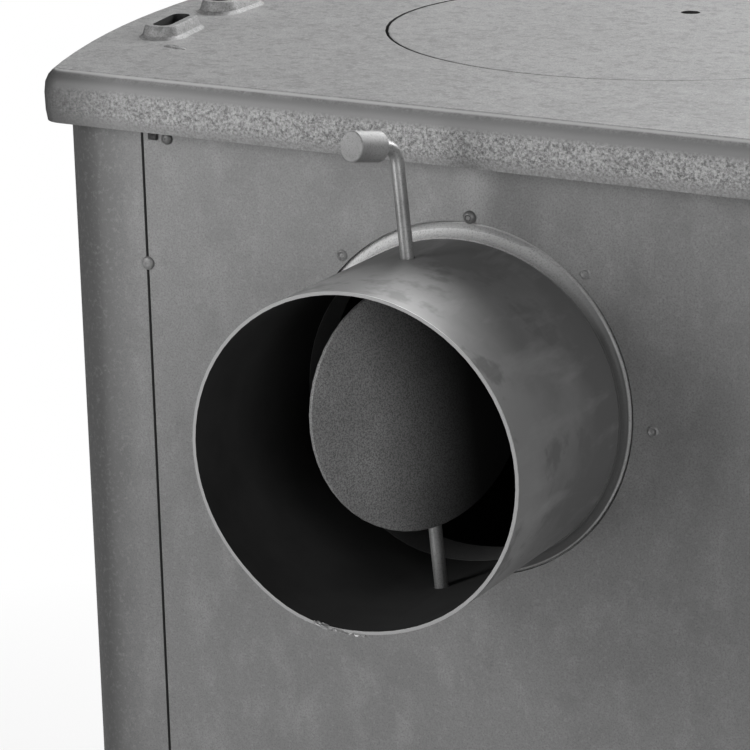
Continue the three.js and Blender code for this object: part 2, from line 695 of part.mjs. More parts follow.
function makeLatch() {
  const { latchX: x, z } = door;
  const boltProfile = [[0, 213.8], [4, 213.8], [4, 231.4], [7.5, 231.4], [7.5, 235], [6, 236.5], [0, 236.5]];
  const bolt = turned(boltProfile, 20).rotateX(Math.PI / 2).translate(x, 0, z);
  addPiece("latch_bolt", bolt, zincSteel);

  const hub = rod(11.5, 221.4, 231, 24).rotateX(Math.PI / 2).translate(x, 0, z);
  // released, the tongue hangs below the hook and the lever points straight down
  const tongue = upright(roundedRect(20, 6, 3, 14, 0), -227, -221.5, 1);
  tongue.rotateY(door.latchTurn).translate(x, 0, z);
  const hole = rod(4.4, 200, 260, 20).rotateX(Math.PI / 2).translate(x, 0, z);
  const curve = new THREE.CatmullRomCurve3(
    [[-226, 0], [-227, -14], [-231, -28], [-240, -44], [-244, -60], [-244, -80]].map(
      ([y, dz]) => new THREE.Vector3(x, y, z + dz),
    ),
  );
  const path = [...curve.getPoints(14), new THREE.Vector3(x, -244, z - 122)];
  const lever = bar(path, 4.5, new THREE.Vector3(1, 0, 0));
  addPiece("latch_handle", cut(join(hub, tongue, lever), hole), blackSteel);

  const [top, bottom] = [z - 62, z - 126];
  const grip = [
    [4.8, top], [10, top], [11.5, top - 2], [12.6, top - 16], [13, top - 36], [12, bottom + 8],
    [9.5, bottom + 1], [0, bottom - 1], [0, bottom + 3.5], [4.8, bottom + 3.5], [4.8, top],
  ];
  addPiece("latch_grip", turned([...grip].reverse(), 24).translate(x, -244, 0), beech);
}

// ---------------------------------------------------------------- ash drawer

function makeDrawer() {
  const { halfWidth: w, rear, height, front } = drawer;
  const low = floorZ + firebox.wall + 0.8;
  const face = -casing.halfDepth - gap;
  const tray = cut(
    block(-w, w, face, rear, low, low + height),
    block(-w + 2, w - 2, face + 2, rear - 2, low + 2, low + height + 5),
  );
  addPiece("ash_tray", tray, blackSteel);

  const [lx, lz] = drawer.leaf;
  let leaf = solid(upright(roundedRect(lx, lz, 8, 0, drawer.z), front, face - gap, 1.8));
  // two lipped rails that hold the air slide
  for (const side of [-1, 1]) {
    const z = drawer.z - 16 + side * 15.4;
    const [z0, z1] = side > 0 ? [z, z + 5] : [z - 5, z];
    const [l0, l1] = side > 0 ? [z - 3.5, z + 5] : [z - 5, z + 3.5];
    leaf = join(leaf, block(-96, 96, front - 6.5, front + 1, z0, z1), block(-96, 96, front - 6.5, front - 3.6, l0, l1));
  }
  addPiece("drawer_front", cut(leaf, ...airSlots(front - 20, face + 5)), castIron);

  const plate = upright(roundedRect(74, 15, 2, 0, drawer.z - 16), front - 3.2, front - gap, 0.4, 2);
  const stud = rod(2.5, 209, 214, 12).rotateX(Math.PI / 2).translate(62, 0, drawer.z - 16);
  addPiece("air_slide", cut(join(plate, stud), ...airSlots(front - 20, front + 20)), blackSteel);
  const knobProfile = [
    [2.8, 210.2], [6, 210.2], [5, 214], [5.5, 217], [8.5, 220], [9, 223], [8, 226], [0, 227.5],
    [0, 214.3], [2.8, 214.3], [2.8, 210.2],
  ];
  const knob = turned(knobProfile, 24).rotateX(Math.PI / 2).translate(62, 0, drawer.z - 16);
  addPiece("air_slide_knob", knob, zincSteel);

  const z = drawer.z + 22;
  const half = [[48, front - gap], [48, front - 20], [46, front - 26], [41, front - 30], [34, front - 31]];
  const path = [...half, ...[...half].reverse().map(([x, y]) => [-x, y])];
  const points = path.map(([x, y]) => new THREE.Vector3(x, y, z));
  addPiece("drawer_pull", bar(points, 4.5, new THREE.Vector3(0, 0, 1)), bareSteel);
}

// Upright slots for the combustion air, the same in the drawer's front and in the slide.
function airSlots(y0, y1) {
  return [-44, -22, 0, 22, 44].map((x) => upright(roundedRect(5, 9, 4.5, x, drawer.z - 16), y0, y1));
}

// ---------------------------------------------------------------- the stove

makeHobPlate();
makeHobLid();
makeSidePanels();
makeRearPanel();
makeFrontPanel();
makeBasePlate();
makeLegs();
makeFirebox();
makeHearth();
makeBricks();
makeFlue();
makeDamper();
makeDoorFrame();
makeFireDoor();
makeLatch();
makeDrawer();

// the part's own frame: on the floor, under the middle of its box
stove.position.set(0, -depthMiddle, 0);

export default stove;
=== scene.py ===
"""The finished look of a wood-burning potbelly stove: painted cast hob, painted sheet casing, smoked flue outlet.

The stove's frame is in metres. place() and the sizes of the small parts made here are in the millimetres of the
drawing, whose depths are counted from the middle of the hob's lid.
"""

import json

import bpy
from math import cos, pi, radians, sin
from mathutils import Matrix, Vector

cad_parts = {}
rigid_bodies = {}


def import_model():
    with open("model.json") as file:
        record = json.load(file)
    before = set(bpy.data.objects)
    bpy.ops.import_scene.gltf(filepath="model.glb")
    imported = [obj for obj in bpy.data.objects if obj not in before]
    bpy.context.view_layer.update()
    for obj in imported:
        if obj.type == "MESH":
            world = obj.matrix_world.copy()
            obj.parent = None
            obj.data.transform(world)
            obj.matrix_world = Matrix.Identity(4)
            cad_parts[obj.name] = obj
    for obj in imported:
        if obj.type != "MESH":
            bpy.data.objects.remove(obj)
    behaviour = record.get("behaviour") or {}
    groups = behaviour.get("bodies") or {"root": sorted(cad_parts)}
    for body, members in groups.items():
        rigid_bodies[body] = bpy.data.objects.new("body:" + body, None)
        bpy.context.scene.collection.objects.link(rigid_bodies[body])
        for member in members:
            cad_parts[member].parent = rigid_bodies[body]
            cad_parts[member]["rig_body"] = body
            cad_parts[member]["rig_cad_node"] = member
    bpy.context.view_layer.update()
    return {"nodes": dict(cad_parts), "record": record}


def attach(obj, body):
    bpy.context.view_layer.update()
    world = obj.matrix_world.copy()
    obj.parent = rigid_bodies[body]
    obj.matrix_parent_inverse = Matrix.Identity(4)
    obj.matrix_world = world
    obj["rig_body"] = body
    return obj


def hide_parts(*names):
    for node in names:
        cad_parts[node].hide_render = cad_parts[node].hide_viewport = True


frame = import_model()
BODY_OF = {node: body for body, nodes in frame["record"]["behaviour"]["bodies"].items() for node in nodes}

MM = 0.001
DEPTH_SHIFT = -24 * MM  # from the middle of the lid to the middle of the stove's box
BACK, FORTH = (0, 1, 0), (0, -1, 0)

# places in the drawing
FLUE_UP = 647  # the outlet's axis
REAR_PANEL = 198  # the rear panel's outer face
PIPE_END = 304.9  # the rim of the outlet
DOOR_UP = 455  # the middle of the door and its frame

FLUE_HEIGHT = FLUE_UP * MM


# ---------------------------------------------------------------- working with objects


def only(piece):
    """Selects one object and makes it the active one."""
    bpy.ops.object.select_all(action="DESELECT")
    piece.select_set(True)
    bpy.context.view_layer.objects.active = piece


def just_made(name):
    """The object that the last operator has added, with its name."""
    piece = bpy.context.object
    piece.name = name
    return piece


def edit(piece, mode="FACE"):
    """Goes to edit mode with nothing selected."""
    only(piece)
    bpy.ops.object.mode_set(mode="EDIT")
    bpy.ops.mesh.select_mode(type=mode)
    bpy.ops.mesh.select_all(action="DESELECT")


def edit_all_points(piece):
    edit(piece, "VERT")
    bpy.ops.mesh.select_all(action="SELECT")


def done():
    bpy.ops.object.mode_set(mode="OBJECT")


def pick_faces(piece, test):
    """Selects, in edit mode, the faces whose middle and normal pass the test."""
    bpy.ops.object.mode_set(mode="OBJECT")
    for face in piece.data.polygons:
        face.select = bool(test(face.center, face.normal))
    bpy.ops.object.mode_set(mode="EDIT")


def looks_up(centre, normal):
    return normal.z > 0.9


def looks_back(centre, normal):
    return normal.y > 0.9


def extrude(x, y, z):
    """Draws the selected faces out, in millimetres."""
    bpy.ops.mesh.extrude_region_move(TRANSFORM_OT_translate={"value": (x * MM, y * MM, z * MM)})


def apply_all(piece):
    only(piece)
    for modifier in list(piece.modifiers):
        bpy.ops.object.modifier_apply(modifier=modifier.name)


def round_edges(piece, width, segments, **settings):
    bevel = piece.modifiers.new("edges", "BEVEL")
    bevel.width = width * MM
    bevel.segments = segments
    for key, value in settings.items():
        setattr(bevel, key, value)
    apply_all(piece)


def shade_smooth(degrees):
    """Shades the active object smooth, except across edges sharper than this."""
    bpy.ops.object.shade_smooth_by_angle(angle=radians(degrees))


def settle(piece, at, turn=(0, 0, 0), scale=(1, 1, 1)):
    """Puts the object in its place and leaves it at the origin, with that place in its mesh."""
    piece.location = at
    piece.rotation_euler = turn
    piece.scale = scale
    only(piece)
    bpy.ops.object.transform_apply(location=True, rotation=True, scale=True)


def place(x, y, z):
    """A point of the drawing, in the stove's frame."""
    return Vector((x * MM, y * MM + DEPTH_SHIFT, z * MM))


def aimed(direction):
    """The turn that points an object's own z axis this way."""
    return Vector(direction).to_track_quat("Z", "Y").to_euler()


def belongs(piece, body, material):
    piece.data.materials.clear()
    piece.data.materials.append(material)
    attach(piece, body)


# ---------------------------------------------------------------- shapes


def softened(node, material, edge, segments=2):
    """A copy of a cut solid with its points merged, its sharp edges rounded and its curves shaded smooth."""
    source = frame["nodes"][node]
    piece = source.copy()
    piece.data = source.data.copy()
    piece.name = node + "_finished"
    piece.parent = None
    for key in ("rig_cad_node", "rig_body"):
        if key in piece:
            del piece[key]
    bpy.context.scene.collection.objects.link(piece)
    edit_all_points(piece)
    bpy.ops.mesh.remove_doubles(threshold=0.02 * MM)
    bpy.ops.mesh.dissolve_limited(angle_limit=radians(0.4), use_dissolve_boundaries=False)
    done()
    if edge:
        round_edges(piece, edge, segments, limit_method="ANGLE", angle_limit=radians(32), miter_outer="MITER_ARC")
    shade_smooth(36)
    flatten = piece.modifiers.new("flat_faces_stay_flat", "WEIGHTED_NORMAL")
    flatten.keep_sharp = True
    apply_all(piece)
    belongs(piece, BODY_OF[node], material)
    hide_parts(node)
    return piece


def head(name, radius, rings, at, out, corners=28, sunk=0.6, smooth=40):
    """A fastener's head: a short drum, half sunk, whose outer face is inset and raised ring by ring."""
    bpy.ops.mesh.primitive_cylinder_add(vertices=corners, radius=radius * MM, depth=2 * sunk * MM)
    piece = just_made(name)
    edit(piece)
    pick_faces(piece, looks_up)
    for inward, up in rings:
        bpy.ops.mesh.inset(thickness=inward * MM, depth=up * MM)
    done()
    settle(piece, at, aimed(out))
    shade_smooth(smooth)
    return piece


def lump(name, at, size, turn, ragged, seed):
    """A rounded bit of metal with its points shaken a little."""
    bpy.ops.mesh.primitive_ico_sphere_add(subdivisions=3, radius=1)
    piece = just_made(name)
    settle(piece, at, turn, [side * MM for side in size])
    edit_all_points(piece)
    bpy.ops.transform.vertex_random(offset=ragged * MM, uniform=0.4, normal=0.2, seed=seed)
    done()
    shade_smooth(50)
    return piece


def rippled_bead(name, start, along, length, radius, pitch, ripple=1.22):
    """A weld bead: a drum drawn out ring by ring, each ring a little wider or narrower than the last."""
    bpy.ops.mesh.primitive_cylinder_add(vertices=10, radius=radius * MM, depth=pitch * MM)
    piece = just_made(name)
    edit(piece)
    pick_faces(piece, looks_up)
    for ring in range(int(length / pitch)):
        extrude(0, 0, pitch)
        wider = ripple if ring % 2 else 1 / ripple
        bpy.ops.transform.resize(value=(wider, wider, 1))
    done()
    settle(piece, start, aimed(along))
    shade_smooth(60)
    return piece


# ---------------------------------------------------------------- finishes


def grey(value):
    """A colour from one linear grey, or from three parts."""
    parts = (value, value, value) if isinstance(value, (int, float)) else value
    return (*parts, 1.0)


def is_socket(value):
    return isinstance(value, bpy.types.NodeSocket)


class Nodes:
    """A node tree under construction. Its methods take plain values and other nodes' outputs alike."""

    def __init__(self, tree):
        self.tree = tree

    def node(self, kind, **settings):
        made = self.tree.nodes.new("ShaderNode" + kind)
        for key, value in settings.items():
            if key in made.inputs:
                made.inputs[key].default_value = value
            else:
                setattr(made, key, value)
        return made

    def link(self, start, end):
        self.tree.links.new(start, end)

    def feed(self, socket, value):
        if is_socket(value):
            self.link(value, socket)
        else:
            socket.default_value = value

    def maths(self, operation, first, second=0.0):
        made = self.node("Math", operation=operation)
        for socket, value in zip(made.inputs, (first, second)):
            self.feed(socket, value)
        return made.outputs[0]

    def both(self, first, second):
        return self.maths("MULTIPLY", first, second)

    def spread(self, source, low, high, start=0.0, end=1.0):
        """A value that goes from low to high while the source goes from start to end."""
        made = self.node("MapRange")
        ends = (("Value", source), ("From Min", start), ("From Max", end), ("To Min", low), ("To Max", high))
        for name, value in ends:
            self.feed(made.inputs[name], value)
        return made.outputs["Result"]

    def mix(self, low, high, share):
        """A colour between two others, each of them a grey, three parts or a node's output."""
        made = self.node("Mix", data_type="RGBA")
        self.feed(made.inputs[0], share)
        for socket, value in ((made.inputs[6], low), (made.inputs[7], high)):
            self.feed(socket, value if is_socket(value) else grey(value))
        return made.outputs[2]

    def blend(self, low, high, source, start=0.35, end=0.65):
        """A colour that goes from low to high while the source, mostly a noise, goes from start to end."""
        return self.mix(low, high, self.spread(source, 0, 1, start, end))

    def flecked(self, base, fleck, source, share, start, end):
        """The base with up to this share of another colour where the source is high."""
        return self.mix(base, fleck, self.spread(source, 0, share, start, end))


class Finish(Nodes):
    """A material under construction."""

    def __init__(self, name, roughness=0.5, metallic=0.0):
        self.material = bpy.data.materials.new(name)
        self.material.use_nodes = True
        super().__init__(self.material.node_tree)
        self.shader = self.tree.nodes["Principled BSDF"]
        self.shader.inputs["Roughness"].default_value = roughness
        self.shader.inputs["Metallic"].default_value = metallic
        self.place = self.node("TexCoord").outputs["Object"]

    def noise(self, scale, detail=3.0, roughness=0.5, stretch=None):
        made = self.node("TexNoise", Scale=scale, Detail=detail, Roughness=roughness)
        where = self.place
        if stretch:
            mapping = self.node("Mapping", Scale=stretch)
            self.link(where, mapping.inputs["Vector"])
            where = mapping.outputs["Vector"]
        self.link(where, made.inputs["Vector"])
        return made.outputs["Fac"]

    def along(self, axis):
        split = self.node("SeparateXYZ")
        self.link(self.place, split.inputs[0])
        return split.outputs[axis]

    def rising(self, axis, start, end):
        """None below the first place on an axis, one above the second."""
        return self.spread(self.along(axis), 0, 1, start, end)

    def falling(self, axis, start, end):
        """One below the first place on an axis, none above the second."""
        return self.spread(self.along(axis), 1, 0, start, end)

    def above_flue(self):
        """The height over the flue's axis."""
        return self.maths("SUBTRACT", self.along("Z"), FLUE_HEIGHT)

    def off_flue(self):
        """The distance from the flue's axis."""
        across = self.maths("POWER", self.along("X"), 2)
        return self.maths("SQRT", self.maths("ADD", across, self.maths("POWER", self.above_flue(), 2)))

    def painted_shade_at_rear_corners(self, out, back):
        """One at the stove's two rear corners, fading to none: where painted shade darkens their sides."""
        return self.both(self.spread(self.maths("ABSOLUTE", self.along("X")), 0, 1, *out), self.rising("Y", *back))

    def soot_and_painted_shade(self):
        """The soot and painted shade on each face, as blacken() has marked it."""
        return self.node("Attribute", attribute_name="dark_inside").outputs["Fac"]

    def bumps(self, *layers):
        """Each layer is (height source, depth in millimetres)."""
        normal = None
        for source, depth in layers:
            made = self.node("Bump", Strength=1.0, Distance=depth * MM)
            self.link(source, made.inputs["Height"])
            if normal is not None:
                self.link(normal, made.inputs["Normal"])
            normal = made.outputs["Normal"]
        self.link(normal, self.shader.inputs["Normal"])

    def colour(self, source):
        self.link(source, self.shader.inputs["Base Color"])

    def rough(self, source):
        self.link(source, self.shader.inputs["Roughness"])


# heights at which the hob's paints, its painted highlight and its painted shade give way to each other
TOP_FADES = (0.7788, 0.7796)
HIGHLIGHT_STARTS, HIGHLIGHT_ENDS = (0.7784, 0.779), (0.7794, 0.7799)
BEVEL_SHADE_ENDS = (0.7765, 0.7792)
SKIRT_ENDS = (0.7705, 0.7735)
BORDER_ENDS = (0.7575, 0.7625)


def hob_paint():
    """Heat-proof paint on cast iron: sandy on top, coarse on the skirt; soot and painted shade inside the holes, a
    painted highlight along the top's edge, painted shade on the bevel and at the rear corners.
    """
    made = Finish("hob_paint")
    fine = made.noise(1150, 3, 0.7)
    sand = made.noise(800, 4, 0.75)
    wear = made.noise(230, 4, 0.6)
    cloud = made.noise(8, 3)

    top = made.blend(0.25, 0.295, cloud)
    top = made.flecked(top, 0.17, wear, 0.9, 0.48, 0.64)
    top = made.flecked(top, 0.34, made.noise(85, 4, 0.6), 0.6, 0.5, 0.7)
    top = made.flecked(top, 0.36, made.noise(420, 3, 0.6), 0.7, 0.52, 0.68)
    top = made.flecked(top, 0.14, fine, 0.9, 0.47, 0.68)

    # the skirt is speckled, and smoother in patches and along its lower border
    patches = made.spread(cloud, 0, 0.3, 0.45, 0.65)
    border = made.spread(made.along("Z"), 0.6, 0, *BORDER_ENDS)
    skirt = made.mix(made.blend(0.09, 0.46, sand, 0.36, 0.64), 0.2, made.maths("ADD", patches, border))

    # downwards from the top: a painted highlight along the crest, the bevelled edge in painted shade, the skirt
    painted_highlight_on_crest = made.both(made.rising("Z", *HIGHLIGHT_STARTS), made.falling("Z", *HIGHLIGHT_ENDS))
    painted_shade_on_bevel = made.falling("Z", *BEVEL_SHADE_ENDS)
    on_skirt = made.falling("Z", *SKIRT_ENDS)
    colour = made.mix(made.mix(top, 0.185, painted_shade_on_bevel), skirt, on_skirt)
    colour = made.mix(colour, 0.46, painted_highlight_on_crest)

    # painted shade on the rear corners' bevel and skirt, below the top
    painted_corner_shade = made.painted_shade_at_rear_corners(out=(0.165, 0.208), back=(0.05, 0.17))
    smoked = made.both(painted_corner_shade, made.falling("Z", *TOP_FADES))
    colour = made.mix(colour, 0.04, smoked)
    # soot in the smoke chamber, painted shade in the holes, the lid's seat and the vents' slots
    made.colour(made.mix(colour, 0.012, made.soot_and_painted_shade()))
    made.rough(made.spread(fine, 0.46, 0.6))
    made.bumps((made.both(sand, on_skirt), 0.45), (fine, 0.03), (wear, 0.13))
    return made.material


def painted_sheet():
    """The casing: mottled satin paint with a fine grain, painted shade at its rear corners and black painted shade
    in its seams and holes.
    """
    made = Finish("satin_casing_paint", metallic=0.1)
    cloud = made.noise(5, 3, 0.55)
    grain = made.noise(1150, 3, 0.75)
    base = made.blend(0.17, 0.2, cloud)
    base = made.flecked(base, 0.25, made.noise(70, 4, 0.6, stretch=(1, 1, 0.6)), 0.6, 0.5, 0.7)
    base = made.flecked(base, 0.15, made.noise(42, 4, 0.6), 0.6, 0.5, 0.7)
    # painted shade at the casing's rear corners
    base = made.mix(base, 0.08, made.painted_shade_at_rear_corners(out=(0.166, 0.188), back=(0.06, 0.14)))

    # above the rivet the rear panel's paint is rubbed, in a stripe
    off_line = made.maths("ABSOLUTE", made.maths("ADD", made.along("X"), 0.006))
    stripe = made.both(made.spread(off_line, 0.8, 0, 0.003, 0.013), made.rising("Z", 0.727, 0.745))
    base = made.mix(base, 0.27, made.both(stripe, made.rising("Y", 0.1, 0.12)))

    base = made.flecked(base, 0.3, made.noise(560, 3, 0.6), 0.25, 0.52, 0.7)
    base = made.flecked(base, 0.09, grain, 0.7, 0.46, 0.7)
    # black painted shade in the seams and holes
    made.colour(made.mix(base, 0.006, made.soot_and_painted_shade()))
    made.rough(made.spread(cloud, 0.42, 0.5))
    made.bumps((grain, 0.022), (made.noise(26, 2), 0.06))
    return made.material


def smoked_steel():
    """The outlet: grey heat tints outside, soot inside and a bare cut rim."""
    made = Finish("smoked_rolled_steel", metallic=0.25)
    patches = made.noise(15, 4, 0.6)
    streaks = made.noise(60, 4, 0.65, stretch=(1, 0.25, 1))
    fine = made.noise(1600, 2, 0.6)
    inside = made.soot_and_painted_shade()
    # darker towards the rear panel, lighter towards the mouth
    reach = made.maths("ADD", made.along("Y"), made.spread(patches, -0.03, 0.03, 0.3, 0.7))
    base = made.blend(0.14, 0.25, reach, 0.2, 0.265)
    base = made.flecked(base, 0.14, made.noise(34, 4, 0.65), 0.8, 0.52, 0.6)
    base = made.flecked(base, 0.33, streaks, 0.5, 0.52, 0.72)
    base = made.mix(base, made.blend(0.011, 0.026, patches), inside)
    made.colour(made.mix(base, made.mix(0.55, 0.02, inside), made.rising("Y", 0.2804, 0.2808)))
    made.rough(made.mix(made.spread(streaks, 0.48, 0.64), 0.9, inside))
    made.bumps((fine, 0.012), (made.noise(40, 3), 0.06))
    return made.material


def collar_steel():
    """The collar round the outlet: painted light above and to one side, painted shade to the other side and below,
    and a painted highlight along its outer edge; dull inside.
    """
    made = Finish("collar_steel", metallic=0.1)
    specks = made.noise(1200, 2, 0.7)
    # painted light and shade: lighter upwards and towards +x, darker downwards and towards -x
    painted_light_slope = made.maths("ADD", made.above_flue(), made.along("X"))
    base = made.blend(0.06, 0.42, painted_light_slope, -0.03, 0.055)
    base = made.blend(base, 0.75, painted_light_slope, 0.07, 0.12)
    # a painted highlight along the collar's outer edge
    base = made.flecked(base, 0.5, made.off_flue(), 0.8, 0.079, 0.0796)
    base = made.mix(base, 0.15, made.soot_and_painted_shade())
    made.colour(made.flecked(base, 0.09, specks, 0.5, 0.5, 0.72))
    made.rough(made.spread(specks, 0.45, 0.6))
    made.bumps((specks, 0.02))
    return made.material


def scaled_disc():
    """The damper's disc: hot-rolled sheet with a sandy scale, in black painted shade where it stands deep in the
    pipe.
    """
    made = Finish("scaled_sheet", metallic=0.1)
    specks = made.noise(1500, 2, 0.75)
    base = made.blend(0.23, 0.3, made.noise(30, 3))
    sandy = made.flecked(base, 0.075, specks, 0.85, 0.42, 0.62)
    # painted shade: black where the disc stands deep in the pipe
    made.colour(made.mix(0.008, sandy, made.rising("Y", 0.2, 0.247)))
    made.rough(made.spread(specks, 0.5, 0.7))
    made.bumps((specks, 0.04))
    return made.material


def bare_steel(name, low, high, rough, metallic):
    """Unpainted steel, stained between two greys, with faint tool lines."""
    made = Finish(name, metallic=metallic)
    lines = made.noise(240, 4, 0.7, stretch=(1, 1, 8))
    specks = made.noise(1300, 2, 0.7)
    base = made.blend(low, high, made.noise(45, 3))
    made.colour(made.flecked(base, low * 0.45, specks, 0.55, 0.5, 0.7))
    made.rough(made.spread(lines, rough - 0.06, rough + 0.12))
    made.bumps((specks, 0.02), (lines, 0.012))
    return made.material


def black_steel():
    """Sheet and bar in heat-proof black."""
    made = Finish("heat_proof_black", metallic=0.1)
    patches = made.noise(22, 4, 0.6)
    grain = made.noise(900, 3, 0.7)
    made.colour(made.flecked(made.blend(0.028, 0.055, patches), 0.09, grain, 0.4, 0.55, 0.8))
    made.rough(made.spread(patches, 0.5, 0.68))
    made.bumps((grain, 0.03))
    return made.material


def black_casting():
    """The black castings of the front, the legs and the hearth."""
    made = Finish("black_casting")
    sand = made.noise(700, 4, 0.65)
    made.colour(made.flecked(made.blend(0.042, 0.07, made.noise(16, 3)), 0.1, sand, 0.5, 0.52, 0.75))
    made.rough(made.spread(sand, 0.5, 0.66))
    made.bumps((sand, 0.14), (made.noise(80, 2), 0.1))
    return made.material


def sooted_plate():
    """The firebox's plates under their soot."""
    made = Finish("sooted_plate", roughness=0.95)
    flakes = made.noise(120, 5, 0.7)
    made.colour(made.blend(0.006, 0.02, flakes))
    made.bumps((flakes, 0.2))
    return made.material


def fireclay():
    """Pressed firebricks, smoked towards their upper end."""
    made = Finish("pressed_fireclay", roughness=0.92)
    grit = made.noise(520, 5, 0.75)
    cloud = made.noise(14, 3)
    base = made.blend((0.34, 0.27, 0.19), (0.47, 0.39, 0.29), cloud)
    clean = made.flecked(base, (0.24, 0.19, 0.14), grit, 0.6, 0.5, 0.75)
    height = made.maths("ADD", made.along("Z"), made.spread(cloud, -0.06, 0.06, 0.3, 0.7))
    made.colour(made.mix(clean, 0.012, made.spread(height, 0.1, 1, 0.36, 0.52)))
    made.bumps((grit, 0.25), (made.noise(90, 3), 0.3))
    return made.material


def rope():
    """The door's knitted seal."""
    made = Finish("knitted_glass_rope", roughness=0.95)
    knit = made.node("TexWave", Scale=260.0, Distortion=3.0, Detail=3.0)
    made.link(made.place, knit.inputs["Vector"])
    made.colour(made.mix(0.05, 0.14, knit.outputs["Fac"]))
    made.bumps((knit.outputs["Fac"], 0.5))
    return made.material


def stove_glass():
    """Clear glass under a brown film of smoke."""
    made = Finish("stove_glass")
    film = made.noise(12, 4, 0.6)
    made.colour(made.blend((0.02, 0.017, 0.014), (0.06, 0.05, 0.04), film, 0.4, 0.7))
    made.shader.inputs["Alpha"].default_value = 0.55
    made.shader.inputs["Coat Weight"].default_value = 0.4
    made.rough(made.spread(film, 0.04, 0.14))
    return made.material


def oiled_wood():
    """The latch's grip."""
    made = Finish("oiled_beech")
    grain = made.noise(26, 5, 0.6, stretch=(6, 6, 0.5))
    flecks = made.noise(700, 2, 0.5, stretch=(1, 1, 0.12))
    base = made.blend((0.24, 0.12, 0.05), (0.45, 0.26, 0.13), grain, 0.3, 0.7)
    made.colour(made.flecked(base, (0.18, 0.09, 0.04), flecks, 0.5, 0.6, 0.75))
    made.rough(made.spread(grain, 0.4, 0.56))
    made.bumps((flecks, 0.05))
    return made.material


# ---------------------------------------------------------------- camera, lights and floor


def place_camera():
    """The photo's own view, as it was fitted to the outlet, the lid and the hob's edges."""
    down, round_behind = 0.27944, pi - 0.47607
    focal_pixels, photo_pixels, sensor = 3430.18, 750, 36
    bpy.ops.object.camera_add(location=(-0.63022, 1.48214, 1.07494))
    camera = just_made("photo_view")
    camera.rotation_euler = (pi / 2 - down, 0, -round_behind)
    camera.data.lens = focal_pixels / photo_pixels * sensor
    camera.data.sensor_width = sensor
    camera.data.clip_start = 0.05
    bpy.context.scene.camera = camera


def soft_lamp(name, location, target, size, watts):
    bpy.ops.object.light_add(type="AREA", location=location)
    lamp = just_made(name)
    lamp.data.shape = "DISK"
    lamp.data.size = size
    lamp.data.energy = watts
    aim = Vector(target) - Vector(location)
    lamp.rotation_euler = aim.to_track_quat("-Z", "Y").to_euler()


def light_the_stage():
    soft_lamp("key_lamp", (-1.8, 2.0, 1.3), (0, 0.17, 0.6), 1.8, 29)
    soft_lamp("near_lamp", (0.55, 0.95, 0.98), (0, 0.17, 0.62), 0.4, 4.3)
    soft_lamp("strip_lamp", (0.66, 1.3, 0.5), (0, 0.17, 0.62), 0.7, 3.8)
    soft_lamp("front_lamp", (-1.2, -2.4, 1.9), (0, -0.1, 0.4), 1.6, 55)
    soft_lamp("top_lamp", (0.15, -1.5, 2.5), (0, 0, 0.7), 1.2, 50)


def light_the_room():
    """A world that looks plain white and sheds a weak light, brightest from behind and above the camera."""
    dimmest, brightest, bright_side = 0.05, 0.14, (-0.55, 0.6, 0.58)
    world = bpy.data.worlds.new("studio")
    bpy.context.scene.world = world
    world.use_nodes = True
    room = Nodes(world.node_tree)
    toward = room.node("VectorMath", operation="DOT_PRODUCT")
    room.link(room.node("TexCoord").outputs["Generated"], toward.inputs[0])
    toward.inputs[1].default_value = Vector(bright_side).normalized()
    light = room.spread(toward.outputs["Value"], dimmest, brightest, -0.5, 0.9)
    rays = room.node("LightPath").outputs
    seen = room.maths("MAXIMUM", rays["Is Camera Ray"], rays["Is Transmission Ray"])
    background = room.tree.nodes["Background"]
    background.inputs["Color"].default_value = grey(1)
    room.link(room.spread(seen, light, 1), background.inputs["Strength"])
    bpy.context.scene.view_settings.view_transform = "Standard"


def lay_floor():
    """A pale floor that keeps the shadow near the stove and fades to plain white away from it."""
    fade_from, fade_to = 0.55, 1.5
    bpy.ops.mesh.primitive_circle_add(vertices=96, radius=9, fill_type="NGON", location=(0, 0, 0))
    floor = just_made("floor")
    made = Finish("pale_floor", roughness=0.9)
    seen = made.node("LightPath").outputs["Is Camera Ray"]
    # the floor throws back less light than it shows
    made.colour(made.mix(0.42, 0.86, seen))
    away = made.node("VectorMath", operation="LENGTH")
    made.link(made.place, away.inputs[0])
    far = made.spread(away.outputs["Value"], 0, 1, fade_from, fade_to)
    white = made.node("Emission", Strength=1.0)
    choice = made.node("MixShader")
    sources = (made.both(far, seen), made.shader.outputs[0], white.outputs[0])
    for socket, source in zip(choice.inputs, sources):
        made.link(source, socket)
    made.link(choice.outputs[0], made.tree.nodes["Material Output"].inputs["Surface"])
    floor.data.materials.append(made.material)


# ---------------------------------------------------------------- soot and painted shade


SEAMS_OUT = 0.17  # the casing's seams and openings are nearer the middle than this
SHEET_FACE = 0.1967  # its outer faces are farther from the lid's middle than this

SKIRT_TOP = 0.7716  # lower than this, the hob's faces belong to its skirt or its underside
SKIRT_OUT, SKIRT_BACK = 0.225, 0.2112  # the skirt's outer sides are beyond these
HOLE_FLOORS, HOLES_OUT = 0.779, 0.2  # what looks up from lower and nearer than these is the floor of a hole
LID_OUT, LID_BACK = 0.185, 0.17  # nearer than these are the walls of the lid and its seat
VENTS = ((-0.132, 0.2), (-0.06, 0.2087), (0.012, 0.2087), (0.084, 0.2))  # how far back and out each one is
VENT_REACH = 0.0185  # from a vent's middle to the ends of its slot


def blacken(piece, how_sooty):
    """Marks each face with how dark it is painted, by its middle and normal: soot in the flue and the smoke
    chamber, painted shade in seams, holes and slots.
    """
    dark_inside = piece.data.attributes.new("dark_inside", "FLOAT", "FACE")
    for face in piece.data.polygons:
        dark_inside.data[face.index].value = float(how_sooty(face.center, face.normal))


def inside_the_flue(centre, normal):
    """How sooty a face of the outlet is: wholly where it looks towards the axis, partly on the end of the wall."""
    if looks_back(centre, normal):
        return 0.4
    return centre.x * normal.x + (centre.z - FLUE_HEIGHT) * normal.z < -0.02


